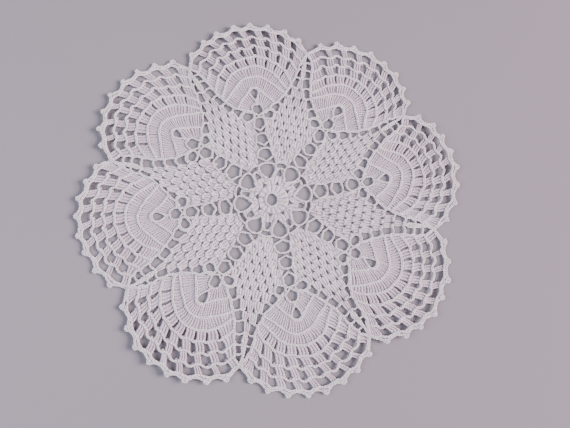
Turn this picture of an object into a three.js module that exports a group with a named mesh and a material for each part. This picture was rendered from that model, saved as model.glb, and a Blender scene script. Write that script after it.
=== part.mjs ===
// A round crocheted lace mat, lying flat: a star in the middle, eight fans around it with a picot edge,
// and eight diamonds of small shells between them, all worked in one piece of white cotton.
// Millimetres, +Z up. The mat lies on z = 0, and the first fan points along +Y.
import * as THREE from 'three';

// Driving dimensions, in millimetres and degrees.
const THICKNESS = 1.8;
const FAN_COUNT = 8;
const FAN_STEP = 360 / FAN_COUNT;
const FIRST_FAN = 90;
const EYE_RADIUS = 77;
const NOTCH_RADIUS = 109.5;

// The rim of a fan, around its eye: arches side by side, each with a picot at its middle.
const RIM = { radius: 49.4, arches: 8, archStep: 13.7 };

// One arch of the rim: where each point lies along the arch, in arches, and how far it stands out.
const ARCH_EDGE = [
  { along: -0.5, rise: 0.0 },
  { along: -0.28, rise: 0.9 },
  { along: -0.17, rise: 1.6 },
  { along: -0.07, rise: 3.9 },
  { along: 0.07, rise: 3.9 },
  { along: 0.17, rise: 1.6 },
  { along: 0.28, rise: 0.9 },
];

// How the eight fans differ, clockwise from the first: a turn about the middle and a lean about the eye,
// both counter-clockwise in degrees, the distance of the eye and the reach past it, both as shares.
const FANS = [
  { turn: -0.7, lean: 1.0, eye: 0.993, reach: 0.99 },
  { turn: -0.6, lean: -1.0, eye: 1.005, reach: 0.98 },
  { turn: 1.2, lean: 4.0, eye: 0.997, reach: 0.975 },
  { turn: 0.9, lean: 0.5, eye: 0.992, reach: 1.0 },
  { turn: 0.4, lean: 3.5, eye: 0.99, reach: 0.985 },
  { turn: 0.1, lean: 3.0, eye: 1.019, reach: 0.995 },
  { turn: -1.2, lean: -1.5, eye: 0.992, reach: 1.005 },
  { turn: -0.3, lean: -2.0, eye: 1.016, reach: 1.04 },
];

// The hole in the middle, and the gaps along the line of a fan: places out from the middle, half sizes.
// The hole lies a little off the middle, as the first ring was drawn in.
const MIDDLE_GAP = { across: -1.2, out: -0.3, wide: 3.5, tall: 3.9, sides: 12 };
const LINE_GAPS = [
  { outline: drop, out: 20.3, wide: 4.6, tall: 5.0 },
  { outline: archOverV, out: 32.1, wide: 4.5, tall: 3.8 },
  { outline: archOverV, out: 43.0, wide: 3.9, tall: 3.7 },
  { outline: archOverV, out: 54.5, wide: 3.4, tall: 4.0 },
  { outline: archOverV, out: 64.8, wide: 3.2, tall: 3.7 },
  { outline: drop, out: 77.3, wide: 2.6, tall: 3.8 },
];

// Half the outline of a gap between the V of one round and the arch of the next, from -1 to 1.
const ARCH_OVER_V = [
  { across: 0.0, out: -1.0 },
  { across: 0.9, out: -0.3 },
  { across: 1.0, out: 0.2 },
  { across: 0.72, out: 0.84 },
  { across: 0.0, out: 1.0 },
];

// The two gaps beside the foot of a fan, and the gap at the foot of a diamond.
const FOOT_GAP = { across: 6.9, out: 60.0, wide: 3.2, tall: 2.3, turn: 24, sides: 6 };
const DIAMOND_GAP = { out: 23.4, wide: 2.7, tall: 1.4, sides: 5 };

// The rings of arched gaps in a fan, around its eye: the angle from gap to gap, how far the ring is turned
// clockwise, because the ribs lean the other way as they rise, and half sizes.
const RING_GAPS = [
  { from: 45.2, step: 13.8, turn: 0.8, wide: 3.5, tall: 2.7 },
  { from: 38.4, step: 14.6, turn: 2.6, wide: 2.6, tall: 2.5 },
];
const RING_COUNT = 8;
const ARCH_LEAN = 0.3;
const ARCH_POINTS = 5;

// The gaps down the side of a fan, from its foot to the notch: around the eye, half sizes along the side
// and across it. On the clockwise side they are narrower, and the last two close up.
const SIDE_GAPS = [
  { from: 16.4, round: 133, along: 2.8, across: 1.9 },
  { from: 19.5, round: 112.5, along: 2.8, across: 2.0 },
  { from: 23.6, round: 96, along: 3.0, across: 2.1 },
  { from: 29.0, round: 83, along: 3.0, across: 2.2 },
  { from: 34.0, round: 73.5, along: 2.4, across: 2.1 },
  { from: 38.5, round: 67.5, along: 2.0, across: 2.0 },
  { from: 43.2, round: 63, along: 2.0, across: 1.9 },
];
const SIDE_POINTS = 6;
const NARROW_SIDE = { share: 0.75, gaps: 5 };

const OVAL_POINTS = 8;
const DROP_POINTS = 9;

/** An oval of a few sides, as points from -1 to 1. */
function oval(sides = OVAL_POINTS) {
  return Array.from({ length: sides }, (_, i) => {
    const t = ((i + 0.5) / sides) * 2 * Math.PI;
    return new THREE.Vector2(Math.sin(t), -Math.cos(t));
  });
}

/** A teardrop with its point inwards: x = sin t sin(t/2), y = -cos t, made as wide as it is tall. */
function drop(points = DROP_POINTS) {
  const widest = 0.77;
  return Array.from({ length: points }, (_, i) => {
    const t = (i / points) * 2 * Math.PI;
    return new THREE.Vector2((Math.sin(t) * Math.sin(t / 2)) / widest, -Math.cos(t));
  });
}

/** The gap between the V of one round and the arch of the next: the table and its mirror image. */
function archOverV() {
  const right = ARCH_OVER_V.map(({ across, out }) => new THREE.Vector2(across, out));
  const left = ARCH_OVER_V.slice(1, -1).map(({ across, out }) => new THREE.Vector2(-across, out));
  return [...right, ...left.reverse()];
}

/** A flat sill under a round head that leans counter-clockwise. */
function arch() {
  const sill = [new THREE.Vector2(-1, -1), new THREE.Vector2(1, -1)];
  const head = Array.from({ length: ARCH_POINTS }, (_, i) => {
    const t = (i / (ARCH_POINTS - 1)) * Math.PI;
    const rise = Math.sin(t);
    return new THREE.Vector2(Math.cos(t) - ARCH_LEAN * rise, rise);
  });
  return [...sill, ...head];
}

/** The angle of a fan's line, counter-clockwise from +X. */
function fanAngle(fan) {
  return FIRST_FAN - FAN_STEP * fan;
}

/** A column of FANS at any angle: a mean of the two nearest fans, weighted by a cosine. */
function uneven(angle, column) {
  return FANS.reduce((sum, row, fan) => {
    const away = THREE.MathUtils.euclideanModulo(angle - fanAngle(fan) + 180, 360) - 180;
    const share = Math.min(1, Math.abs(away) / FAN_STEP);
    return sum + row[column] * (0.5 + 0.5 * Math.cos(Math.PI * share));
  }, 0);
}

/** A point of the even pattern, across and out along the line of a fan, moved to where it lies. */
function place(fan, across, out) {
  const radius = Math.hypot(across, out);
  const angle = fanAngle(fan) - THREE.MathUtils.radToDeg(Math.atan2(across, out));
  const inside = Math.min(radius, EYE_RADIUS);
  const past = radius - inside;
  const towardsEye = inside / EYE_RADIUS;
  const swing = uneven(angle, 'turn') * towardsEye + uneven(angle, 'lean') * (past / radius);
  const stretch = 1 + (uneven(angle, 'eye') - 1) * towardsEye;
  const length = inside * stretch + past * uneven(angle, 'reach');
  const turned = THREE.MathUtils.degToRad(angle + swing);
  return new THREE.Vector2(length * Math.cos(turned), length * Math.sin(turned));
}

/** A point around the eye of a fan: round is clockwise from the fan's line, in degrees. */
function aroundEye(fan, from, round) {
  const t = THREE.MathUtils.degToRad(round);
  return place(fan, from * Math.sin(t), EYE_RADIUS + from * Math.cos(t));
}

/** A gap with its middle across and out along a fan's line, turned clockwise by some degrees. */
function gapOnLine(fan, outline, { across = 0, out, wide, tall, turn = 0 }) {
  const t = THREE.MathUtils.degToRad(-turn);
  return outline.map((point) => {
    const moved = new THREE.Vector2(point.x * wide, point.y * tall).rotateAround(new THREE.Vector2(), t);
    return place(fan, across + moved.x, out + moved.y);
  });
}

/** A gap in a ring around the eye of a fan. */
function gapInRing(fan, outline, { from, round, wide, tall }) {
  const widthInDegrees = THREE.MathUtils.radToDeg(wide / from);
  return outline.map((point) => aroundEye(fan, from + point.y * tall, round + point.x * widthInDegrees));
}

/** The places of the side gaps on the even pattern, across and out, with the foot gap before them. */
function sideLine() {
  const places = SIDE_GAPS.map(({ from, round }) => {
    const t = THREE.MathUtils.degToRad(round);
    return new THREE.Vector2(from * Math.sin(t), EYE_RADIUS + from * Math.cos(t));
  });
  return [new THREE.Vector2(FOOT_GAP.across, FOOT_GAP.out), ...places];
}

/** The gaps down one side of a fan, each turned to lie along the line through its neighbours. */
function sideGaps(fan, side) {
  const line = sideLine();
  const narrow = side > 0;
  const count = narrow ? NARROW_SIDE.gaps : SIDE_GAPS.length;
  return SIDE_GAPS.slice(0, count).map(({ along, across }, i) => {
    const before = line[i];
    const here = line[i + 1];
    const after = line[Math.min(i + 2, line.length - 1)];
    const turn = THREE.MathUtils.radToDeg(Math.atan2(after.x - before.x, after.y - before.y));
    return gapOnLine(fan, oval(SIDE_POINTS), {
      across: side * here.x,
      out: here.y,
      wide: across * (narrow ? NARROW_SIDE.share : 1),
      tall: along,
      turn: side * turn,
    });
  });
}

/** The gaps of one eighth of the mat. */
function fanGaps(fan) {
  const onLine = LINE_GAPS.map((gap) => gapOnLine(fan, gap.outline(), gap));
  const atFoot = [-1, 1].map((side) => {
    const mirrored = { ...FOOT_GAP, across: side * FOOT_GAP.across, turn: side * FOOT_GAP.turn };
    return gapOnLine(fan, oval(FOOT_GAP.sides), mirrored);
  });
  const inRings = RING_GAPS.flatMap((ring) =>
    Array.from({ length: RING_COUNT }, (_, i) =>
      gapInRing(fan, arch(), { ...ring, round: (i - (RING_COUNT - 1) / 2) * ring.step + ring.turn })
    )
  );
  const downSides = [-1, 1].flatMap((side) => sideGaps(fan, side));
  const underDiamond = gapOnLine(fan + 0.5, oval(DIAMOND_GAP.sides), DIAMOND_GAP);
  return [...onLine, ...atFoot, ...inRings, ...downSides, underDiamond];
}

/** The rim of one fan from left to right, with the notch after it. */
function fanRim(fan) {
  const arches = Array.from({ length: RIM.arches }, (_, i) => i - (RIM.arches - 1) / 2);
  const rim = arches.flatMap((step) =>
    ARCH_EDGE.map(({ along, rise }) => aroundEye(fan, RIM.radius + rise, (step + along) * RIM.archStep))
  );
  const lastValley = aroundEye(fan, RIM.radius, (RIM.arches / 2) * RIM.archStep);
  return [...rim, lastValley, place(fan + 0.5, 0, NOTCH_RADIUS)];
}

/** The flat outline of the whole mat with every gap in it. */
function matOutline() {
  const fans = Array.from({ length: FAN_COUNT }, (_, fan) => fan);
  const mat = new THREE.Shape(fans.flatMap(fanRim));
  const middle = gapOnLine(0, oval(MIDDLE_GAP.sides), MIDDLE_GAP);
  mat.holes = [middle, ...fans.flatMap(fanGaps)].map((points) => new THREE.Path(points));
  return mat;
}

const cotton = new THREE.MeshStandardMaterial({ color: 0xcbc4cb, roughness: 0.92, metalness: 0 });
const sheet = new THREE.ExtrudeGeometry(matOutline(), { depth: THICKNESS, bevelEnabled: false });

// The middle of the mat's own box is the origin.
sheet.computeBoundingBox();
const boxMiddle = sheet.boundingBox.getCenter(new THREE.Vector3());
sheet.translate(-boxMiddle.x, -boxMiddle.y, 0);

const laceMat = new THREE.Mesh(sheet, cotton);
laceMat.name = 'lace_mat';

const part = new THREE.Group();
part.add(laceMat);

export default part;
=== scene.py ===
# %% [markdown]
# # A round crocheted lace mat
# The real mat is one cotton thread, looped by hand into stitches, round after round from the middle.
# It has a star in the middle, eight arms of open gaps, eight diamonds of small shells between the arms,
# and eight fans with a scalloped edge. A flat sheet with a lace picture on it would look like paper from
# the side, so here each stitch is a small tube of its own, and the gaps are really open.

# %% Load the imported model
from collections import namedtuple

import bpy
import numpy as np
from mathutils import Matrix, Vector


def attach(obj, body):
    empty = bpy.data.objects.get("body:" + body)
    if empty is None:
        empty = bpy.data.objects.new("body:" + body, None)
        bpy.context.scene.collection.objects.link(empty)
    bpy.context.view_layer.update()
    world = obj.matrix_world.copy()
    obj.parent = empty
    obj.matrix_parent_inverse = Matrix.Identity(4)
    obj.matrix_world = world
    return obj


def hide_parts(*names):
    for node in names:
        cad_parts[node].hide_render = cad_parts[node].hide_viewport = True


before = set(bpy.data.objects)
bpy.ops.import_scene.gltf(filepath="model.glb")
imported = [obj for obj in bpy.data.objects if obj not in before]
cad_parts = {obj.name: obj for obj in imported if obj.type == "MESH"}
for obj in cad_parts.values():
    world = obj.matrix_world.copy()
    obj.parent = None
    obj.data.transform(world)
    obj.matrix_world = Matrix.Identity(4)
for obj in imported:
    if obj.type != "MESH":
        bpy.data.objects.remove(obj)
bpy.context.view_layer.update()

# %% [markdown]
# ## The even pattern and the uneven mat
# The pattern repeats eight times, but no two fans of a hand-made mat lie alike. So the pattern is drawn
# once, in millimetres across and out along the line of a fan, and a table then turns, leans and stretches
# each of its eight copies. The solid mat was laid out by the same numbers, so the two agree. The table's
# last two columns are for the stitches alone: they move the two rails at a fan's sides.

# %% Lay the even pattern out as the mat lies
MM = 0.001
FAN_COUNT = 8
FAN_STEP = 360 / FAN_COUNT
FIRST_FAN = 90.0
EYE_RADIUS = 77.0


def named_rows(columns, rows):
    """A small table whose columns have names."""
    return np.array(rows, dtype=[(column, float) for column in columns.split()])


FANS = named_rows("turn lean eye reach before after", [
    (-0.7, 1.0, 0.993, 0.990, -0.9, -0.3),
    (-0.6, -1.0, 1.005, 0.980, 0.0, 0.4),
    (1.2, 4.0, 0.997, 0.975, 0.4, -0.3),
    (0.9, 0.5, 0.992, 1.000, 0.3, 0.4),
    (0.4, 3.5, 0.990, 0.985, -0.3, 0.6),
    (0.1, 3.0, 1.019, 0.995, 0.2, 0.2),
    (-1.2, -1.5, 0.992, 1.005, 0.2, -0.7),
    (-0.3, -2.0, 1.016, 1.040, 0.4, -0.1),
])
FAN_ANGLES = FIRST_FAN - FAN_STEP * np.arange(FAN_COUNT)


def uneven(angle, column):
    """A column of FANS at any angle: the values of the two nearest fans, mixed by a cosine of the way."""
    away = (angle[..., None] - FAN_ANGLES + 180) % 360 - 180
    share = 0.5 + 0.5 * np.cos(np.pi * np.minimum(1, np.abs(away) / FAN_STEP))
    return share @ FANS[column]


def lay_out(fan, across, out):
    """Even pattern to mat: the angle swings by turn up to the eye and by lean past it, and the distance
    from the middle stretches by eye and then by reach."""
    radius = np.hypot(across, out)
    angle = FIRST_FAN - FAN_STEP * fan - np.degrees(np.arctan2(across, out))
    inside = np.minimum(radius, EYE_RADIUS)
    past = radius - inside
    towards_eye = inside / EYE_RADIUS
    swing = uneven(angle, "turn") * towards_eye + uneven(angle, "lean") * past / radius
    stretch = 1 + (uneven(angle, "eye") - 1) * towards_eye
    length = inside * stretch + past * uneven(angle, "reach")
    turned = np.radians(angle + swing)
    return np.stack([length * np.cos(turned), length * np.sin(turned)], -1)


def about_eye(reach, around):
    """Flat points on rays from a fan's eye: reach out from it, and degrees clockwise of the fan's line."""
    turned = np.radians(around)
    return np.stack([reach * np.sin(turned), EYE_RADIUS + reach * np.cos(turned)], -1)


# The scalloped rim: arches around the eye, each with a picot on its middle.
RIM_RADIUS, RIM_STEP, ARCHES = 49.4, 13.7, 8
PICOT_TIP, PICOT_HALF = 3.9, 0.07
ARCH_MIDDLES = (np.arange(ARCHES) - (ARCHES - 1) / 2) * RIM_STEP

tip_angles = np.concatenate([ARCH_MIDDLES - PICOT_HALF * RIM_STEP, ARCH_MIDDLES + PICOT_HALF * RIM_STEP])
tip_points = about_eye(RIM_RADIUS + PICOT_TIP, tip_angles)
tips = np.concatenate([lay_out(fan, *tip_points.T) for fan in range(FAN_COUNT)])
BOX_MIDDLE = (tips.max(0) + tips.min(0)) / 2
print("tips span, in mm:", np.ptp(tips, axis=0).round(2), "middle of their box:", BOX_MIDDLE.round(3))

# %% [markdown]
# ## How the cloth settles
# Cotton lace never lies like a drawing: stitches wander by a fraction of a millimetre, and the rim lifts
# here and there. Both are smooth waves over the whole mat, so stitches that touch still touch.

# %% Let the stitches wander and the rim lift
SEED = 11
WAVES = 12
WAVE_LENGTHS = (9.0, 30.0)
WANDER = 0.11
RIM_LIFT, LIFT_FROM, LIFT_OVER = 2.2, 70.0, 55.0
LIFT_LOBES, LIFT_START = 5, 0.6

rng = np.random.default_rng(SEED)
wave_angle = rng.uniform(0, 2 * np.pi, WAVES)
wave_number = 2 * np.pi / rng.uniform(*WAVE_LENGTHS, WAVES)
wave_vector = wave_number * np.stack([np.cos(wave_angle), np.sin(wave_angle)])
wave_start = rng.uniform(0, 2 * np.pi, (WAVES, 2))


def wander(flat):
    """A small shift for each point: a sum of sine waves of many lengths and directions over the mat."""
    phase = (flat @ wave_vector)[..., None] + wave_start
    return WANDER * np.sin(phase).sum(-2)


def rise(flat):
    """Height of the cloth over the surface: none in the middle, lobes of lift towards the rim."""
    radius, angle = np.hypot(*np.moveaxis(flat, -1, 0)), np.arctan2(flat[..., 1], flat[..., 0])
    edge = np.clip((radius - LIFT_FROM) / LIFT_OVER, 0, 1)
    lobes = 0.5 + 0.5 * np.sin(LIFT_LOBES * angle + LIFT_START)
    return RIM_LIFT * edge**2 * lobes


def settle(fan, pattern):
    """Pattern points (across, out, height) to metres in the mat's own frame."""
    flat = lay_out(fan, pattern[..., 0], pattern[..., 1])
    height = pattern[..., 2] + rise(flat)
    return np.concatenate([flat + wander(flat) - BOX_MIDDLE, height[..., None]], -1) * MM


print("lengths of the waves, in mm:", (2 * np.pi / wave_number).round(1))

# %% [markdown]
# ## A thread as a swept profile
# A strand is a profile carried along a path. Thousands of strands are swept at once: the paths are one
# array of strands by points, and the profile adds one more axis. A tall stitch is two threads twisted
# together, so its profile has two lobes that turn on the way up, pressed flat as the mat is. A strand of
# a chain is plain and round. Each profile also holds painted shade and light for the colour: how grey its
# crest is painted, lighter on the raised chains and darker on the low back legs, and how much greyer its
# flanks are painted, as shade where little light gets between the stitches.

# %% Sweep profiles along many paths at once
Profile = namedtuple("Profile", "sides lobe turns tallest crest flank")
Bundle = namedtuple("Bundle", "profile paths radius")
# Crest and flank are painted shade and light: lighter raised chains, greyer back legs and flanks.
POST = Profile(sides=8, lobe=0.13, turns=1.4, tallest=0.70, crest=0.04, flank=1.6)
SMOOTH_POST = Profile(sides=8, lobe=0.05, turns=0.8, tallest=0.62, crest=0.08, flank=0.6)
STRAND = Profile(sides=5, lobe=0.0, turns=0.0, tallest=1.0, crest=-0.24, flank=0.3)
BACK = Profile(sides=5, lobe=0.0, turns=0.0, tallest=0.45, crest=0.5, flank=0.6)
UP = np.array([0.0, 0.0, 1.0])
LOWEST = 0.02


def unit(vectors):
    """Vectors made one long."""
    return vectors / np.linalg.norm(vectors, axis=-1, keepdims=True)


def sweep(paths, radius, profile, first_turn):
    """Rings around each path point: the radius swells by the cosine of twice the angle round the profile,
    the whole profile turns evenly from one end to the other, and its height has a limit. What would dip
    under the mat's lowest level is pressed flat on it. Also how deep each point is down the strand's flank:
    one less the sine of its angle, so none on the crest and one from half-way down."""
    tangent = unit(np.gradient(paths, axis=1))
    side = unit(np.cross(tangent, UP))
    lift = np.cross(side, tangent)
    round_it = 2 * np.pi * np.arange(profile.sides) / profile.sides
    swell = 1 + profile.lobe * np.cos(2 * round_it)
    turn = first_turn[:, None] + 2 * np.pi * profile.turns * np.linspace(0, 1, paths.shape[1])
    angle = round_it + turn[..., None]
    height = np.minimum(radius, profile.tallest * MM)
    sideways = (radius[..., None] * swell * np.cos(angle))[..., None] * side[:, :, None]
    upwards = (height[..., None] * swell * np.sin(angle))[..., None] * lift[:, :, None]
    rings = paths[:, :, None] + sideways + upwards
    rings[..., 2] = np.maximum(rings[..., 2], LOWEST * MM)
    # The depth down the flank sets how much painted shade the strand's flanks get in the colour.
    return rings, 1 - np.maximum(np.sin(angle), 0)


def tube_corners(strands, steps, sides):
    """Corner numbers of every wall face, and of the two end faces, of tubes with the same rings."""
    first = np.arange(strands)[:, None, None] * steps * sides
    ring = np.arange(steps - 1)[:, None] * sides
    here = np.arange(sides)
    after = (here + 1) % sides
    low, high = first + ring, first + ring + sides
    walls = np.stack([low + here, high + here, high + after, low + after], -1)
    starts = first[:, 0] + here
    ends = first[:, 0] + (steps - 1) * sides + here[::-1]
    return walls, np.stack([starts, ends], 1)


print("corners round a post, a chain's strand and a back leg:", POST.sides, STRAND.sides, BACK.sides)

# %% [markdown]
# ## Two stitches
# Nearly everything here is a post or a chain. A post is the tall double stitch, hooked into the row below
# and bowed up a little. Between two posts of a row lies a low back leg, so the groove there shows cotton
# and not the floor. A chain is a line of V-shaped links, each the two legs of one loop, and it runs along
# the top of every row, over each gap and round each ring.

# %% Posts and chains
POST_POINTS, SHORT_POINTS = 6, 4
POST_LOW, POST_HIGH, POST_BOW = 0.62, 0.92, 0.10
POST_WAIST, NO_WAIST = 0.05, 0.0
BACK_HEIGHT = 0.4
CHAIN_HEIGHT = 1.46
RUN_ON = 3.0
FEWEST_LINKS = 2
STEP_ASIDE = 0.3
LEG_REACH = 1.7
LEG_POINTS = named_rows("along aside height", [
    (0.0, 0.10, -0.30),
    (0.36, 0.85, 0.10),
    (0.70, 1.0, 0.26),
    (1.0, 0.40, -0.22),
])
Yarn = namedtuple("Yarn", "pitch half leg")
ROW_CHAIN = Yarn(pitch=1.6, half=0.41, leg=0.46)
RING_CHAIN = Yarn(pitch=1.6, half=0.31, leg=0.37)
EDGE_CHAIN = Yarn(pitch=1.3, half=0.40, leg=0.42)


def at_height(flat, height=CHAIN_HEIGHT, side=1):
    """Flat pattern points with a height, mirrored where side is -1."""
    return np.stack(np.broadcast_arrays(side * flat[..., 0], flat[..., 1], height), -1)


def posts(base, top, base_width, top_width, points=POST_POINTS, sway=0.0, waist=POST_WAIST, profile=POST):
    """Posts from flat base to flat top points, lifted by half a sine wave and swayed sideways by another,
    as wide at each end as is given and narrower by the waist's share between."""
    way = np.linspace(0, 1, points)
    arc = np.sin(np.pi * way)
    low, high = at_height(base, POST_LOW)[:, None], at_height(top, POST_HIGH)[:, None]
    paths = low * (1 - way)[:, None] + high * way[:, None]
    along = unit(top - base)
    aside = np.stack([-along[:, 1], along[:, 0]], -1) * np.broadcast_to(sway, len(base))[:, None]
    paths[..., :2] += aside[:, None] * arc[:, None]
    paths[..., 2] += POST_BOW * arc
    widths = np.multiply.outer(np.broadcast_to(base_width, len(base)), 1 - way)
    widths = widths + np.multiply.outer(np.broadcast_to(top_width, len(base)), way)
    return Bundle(profile, paths, widths / 2 * (1 - waist * arc))


def backs(front, row_of=None):
    """Back legs of a row of posts: half-way between each post and the next of the same stretch, and low,
    so that the groove between two posts shows cotton."""
    row_of = np.zeros(len(front.paths)) if row_of is None else row_of
    first = np.flatnonzero(np.diff(row_of) == 0)
    paths = (front.paths[first] + front.paths[first + 1]) / 2
    paths[..., 2] = BACK_HEIGHT
    return Bundle(BACK, paths, (front.radius[first] + front.radius[first + 1]) / 2)


def chain(route, yarn=ROW_CHAIN, closed=False, side=1):
    """Links at even distances along a flat route: each leg starts near the line, spreads to one side of
    it, rises, and dips under the next link. An open route runs straight on past both ends, for the links
    that reach over them."""
    route = at_height(route, side=side)
    if closed:
        route = np.concatenate([route, route[:1]])
    else:
        before = route[0] - RUN_ON * unit(route[1] - route[0])
        after = route[-1] + RUN_ON * unit(route[-1] - route[-2])
        route = np.concatenate([before[None], route, after[None]])
    far = np.concatenate([[0], np.cumsum(np.linalg.norm(np.diff(route, axis=0), axis=1))])
    length = far[-1] if closed else far[-1] - 2 * RUN_ON
    links = max(FEWEST_LINKS, round(length / yarn.pitch))
    step = length / links
    middle = (np.arange(links) + 0.5) * step + (0 if closed else RUN_ON)
    distance = middle[:, None] + (LEG_POINTS["along"] - 0.5) * LEG_REACH * step

    def walk(so_far):
        """Points at distances along the route, on the straight steps between its points."""
        so_far = so_far % length if closed else so_far
        return np.stack([np.interp(so_far, far, axis) for axis in route.T], -1)

    ahead = unit(walk(distance + STEP_ASIDE) - walk(distance - STEP_ASIDE))
    aside = np.stack([-ahead[..., 1], ahead[..., 0], np.zeros_like(distance)], -1)
    line = walk(distance) + LEG_POINTS["height"][:, None] * UP
    spread = yarn.half * LEG_POINTS["aside"][:, None] * aside
    paths = np.concatenate([line + spread, line - spread])
    return Bundle(STRAND, paths, np.full(paths.shape[:2], yarn.leg))


Motif = namedtuple("Motif", "posts chains")


def both(*motifs):
    """Several motifs as one."""
    return Motif(sum((m.posts for m in motifs), []), sum((m.chains for m in motifs), []))


post_faces = (POST_POINTS - 1) * POST.sides + 2
leg_faces = (len(LEG_POINTS) - 1) * STRAND.sides + 2
print("faces of a post:", post_faces, "and of a chain's leg:", leg_faces)

# %% [markdown]
# ## The sides of a fan
# A fan is joined to the diamonds beside it by a ladder of sagging bars, with open gaps between them. The
# fan's own rail is drawn towards each bar, which scallops it, and on the other side the bars end in the
# diamond's shells. Past the diamond a second rail, tied to its tip, runs out to the rim. Every gap has a
# size of its own on each side, and each fan moves its rails a little. On the clockwise side the gaps are
# narrower, and the last one closes up, because the stitches are drawn that way.

# %% Rails and bars down the sides of a fan
SIDE_GAPS = named_rows("reach round before before_far after after_far", [
    (16.4, 133.0, 0.75, 1.3, 0.95, 0.95),
    (19.5, 112.5, 1.25, 1.5, 0.72, 1.1),
    (23.6, 96.0, 1.8, 1.7, 0.67, 1.2),
    (29.0, 83.0, 2.5, 1.8, 0.95, 1.3),
    (34.0, 73.5, 2.8, 1.4, 1.3, 1.4),
    (38.5, 67.5, 2.9, 1.2, 1.5, 0.6),
    (43.2, 63.0, 2.4, 1.3, 0.25, 0.25),
])
SIDES = (-1, 1)
SIDE_NAMES = {-1: "before", 1: "after"}
FOOT_SIDE = {-1: 2.7, 1: 1.95}
BARS = {-1: 7, 1: 6}
FOOT_PLACE, FOOT_HALF = np.array([7.1, 60.2]), np.array([3.2, 2.7])
FOOT_TURN = 24.0
RAIL_HALF = 0.70
RIM_END_REACH, RIM_END_ROUND = 48.6, 59.6
PAST_DIAMOND = 5
DIAMOND_FOOT, DIAMOND_TIP = 25.6, 89.3
TIP_ANGLE = np.radians(FAN_STEP / 2)
BAR_PAST, BAR_SAG, SCALLOP = 0.9, 0.9, 0.6
BEND_POINTS = 9
BEND_WAY = np.linspace(0, 1, BEND_POINTS)

SideLine = namedtuple("SideLine", "fan_rail far_rail")


def side_line(fan, side):
    """The two rails beside the gaps: the line through the gaps, moved to either side by the gap's share on
    that side and half a chain. Side is -1 before the fan, going round clockwise, and 1 after it. The fan's
    own rail stands further in or out by what the fan's row in FANS says."""
    name = SIDE_NAMES[side]
    line = np.vstack([FOOT_PLACE, about_eye(SIDE_GAPS["reach"], SIDE_GAPS["round"])])
    along = unit(np.gradient(line, axis=0))
    inward = np.stack([-along[:, 1], along[:, 0]], -1)
    near, far = (np.append(FOOT_SIDE[side], SIDE_GAPS[column])[:, None] + RAIL_HALF
                 for column in (name, f"{name}_far"))
    near[1:] += FANS[name][fan]
    rim_end = about_eye(RIM_END_REACH, RIM_END_ROUND)[None]
    return SideLine(np.vstack([line + near * inward, rim_end]), np.vstack([line - far * inward, rim_end]))


SIDE_LINES = [{side: side_line(fan, side) for side in SIDES} for fan in range(FAN_COUNT)]


def bent(starts, ends, pull, power=1):
    """Lines from starts to ends, each moved by its pull times a power of the sine of the way along it."""
    way = BEND_WAY[:, None]
    return starts[:, None] * (1 - way) + ends[:, None] * way + pull[:, None] * np.sin(np.pi * way) ** power


def fan_sides(fan):
    """On both sides: the fan's rail, pulled towards each bar by a squared sine, the bars, which sag outwards
    by a sine, and the far rail from the diamond's tip on."""
    chains = []
    tip = DIAMOND_TIP * np.array([np.sin(TIP_ANGLE), np.cos(TIP_ANGLE)])
    for side, line in SIDE_LINES[fan].items():
        starts, ends = ((rail[:-1] + rail[1:]) / 2 for rail in line)
        across, outwards = unit(ends - starts), unit(np.diff(line.fan_rail, axis=0))
        pulled = bent(line.fan_rail[:-1], line.fan_rail[1:], SCALLOP * across, power=2)
        chains.append(chain(np.vstack([pulled[:, :-1].reshape(-1, 2), line.fan_rail[-1:]]), side=side))
        chains.append(chain(np.vstack([tip, line.far_rail[PAST_DIAMOND:]]), side=side))
        bars = bent(starts + SCALLOP * across, ends + BAR_PAST * across, BAR_SAG * outwards)
        chains += [chain(bar, RING_CHAIN, side=side) for bar in bars[:BARS[side]]]
    return Motif([], chains)


sides_made = [fan_sides(fan) for fan in range(FAN_COUNT)]
print("chains down the sides of a fan:", len(sides_made[0].chains))

# %% [markdown]
# ## The lines of a fan
# The rows of a fan end on lines that are round about its eye and then run straight down both flanks, as
# a horseshoe does. A place on such a line is its distance along it from the fan's middle, so that posts
# can be set at even distances whether the line is round or straight there.

# %% Lines around the eye
# Reach and flank shape a line. Step and drift place the eight gaps of its row, in degrees about the eye.
# Gap is half a gap's width, which shrinks clockwise from the first column's share to the last one's, and
# foot is the share of it at the row below. Lean is how far the posts lean along the line, and bulge is how
# far the chain stands out over a gap.
FAN_LINES = named_rows("reach flank step drift gap foot lean bulge", [
    (4.0, 50.0, 0.0, 0.0, 0.0, 0.0, 0.0, 0.0),
    (12.6, 45.0, 18.9, 7.6, 0.0, 0.0, 0.0, 0.0),
    (20.2, 62.0, 17.8, 6.4, 0.30, 0.2, 0.3, 0.1),
    (27.1, 75.0, 16.5, 5.0, 0.60, 0.2, 0.8, 0.8),
    (33.9, 88.0, 15.2, 3.4, 1.55, 0.45, 2.4, 1.5),
    (40.8, 90.0, 14.2, 1.8, 2.40, 0.7, 2.2, 1.7),
    (47.6, 90.0, 13.7, 0.3, 3.25, 0.85, 3.0, 1.2),
])
COLUMNS = 8
COLUMN_PLACES = np.arange(COLUMNS) - (COLUMNS - 1) / 2
FIRST_SHARE, LAST_SHARE = 1.22, 0.80
COLUMN_SHARE = np.linspace(FIRST_SHARE, LAST_SHARE, COLUMNS)
ARCH_SHOULDER = 1.0
LINE_LONGEST, LINE_STEPS, ROUTE_POINTS = 90.0, 1801, 241


def line_point(line, along, offset=0.0):
    """Flat pattern points on a fan's line: an arc up to its flank angle, then the tangent, all moved
    outwards by the offset."""
    bend = np.clip(along / line["reach"], -np.radians(line["flank"]), np.radians(line["flank"]))
    past = along - bend * line["reach"]
    reach = line["reach"] + offset
    across = reach * np.sin(bend) + past * np.cos(bend)
    return np.stack([across, EYE_RADIUS + reach * np.cos(bend) - past * np.sin(bend)], -1)


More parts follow.
